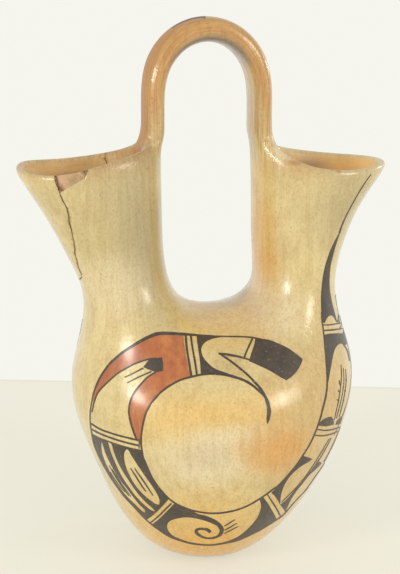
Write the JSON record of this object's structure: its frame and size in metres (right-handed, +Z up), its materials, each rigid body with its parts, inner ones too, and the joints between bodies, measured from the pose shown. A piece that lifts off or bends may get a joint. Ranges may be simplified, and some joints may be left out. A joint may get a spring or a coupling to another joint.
{
  "type": "two-spouted pottery jar",
  "caption": "Egg-shaped earthenware jar with two flared spouts joined by an arched strap handle; painted slip, hollow, on a small flat foot.",
  "frame": {"origin": "on the ground under the middle of the handle, at the flat foot's underside", "axes": "+Z up, +X through both spouts towards the whole one, +Y to the back"},
  "size_m": [0.1847, 0.1322, 0.2724],
  "materials": {
    "slip": "burnished cream slip with fire blushes, painted in black and red",
    "blushed_slip": "burnished slip, blushed orange-brown by the fire"
  },
  "bodies": {
    "root": {"base": "slip", "belly": "slip", "shoulder": "slip", "left_spout": "slip", "spout_sherd": "slip", "right_spout": "slip", "handle": "blushed_slip"}
  },
  "joints": []
}
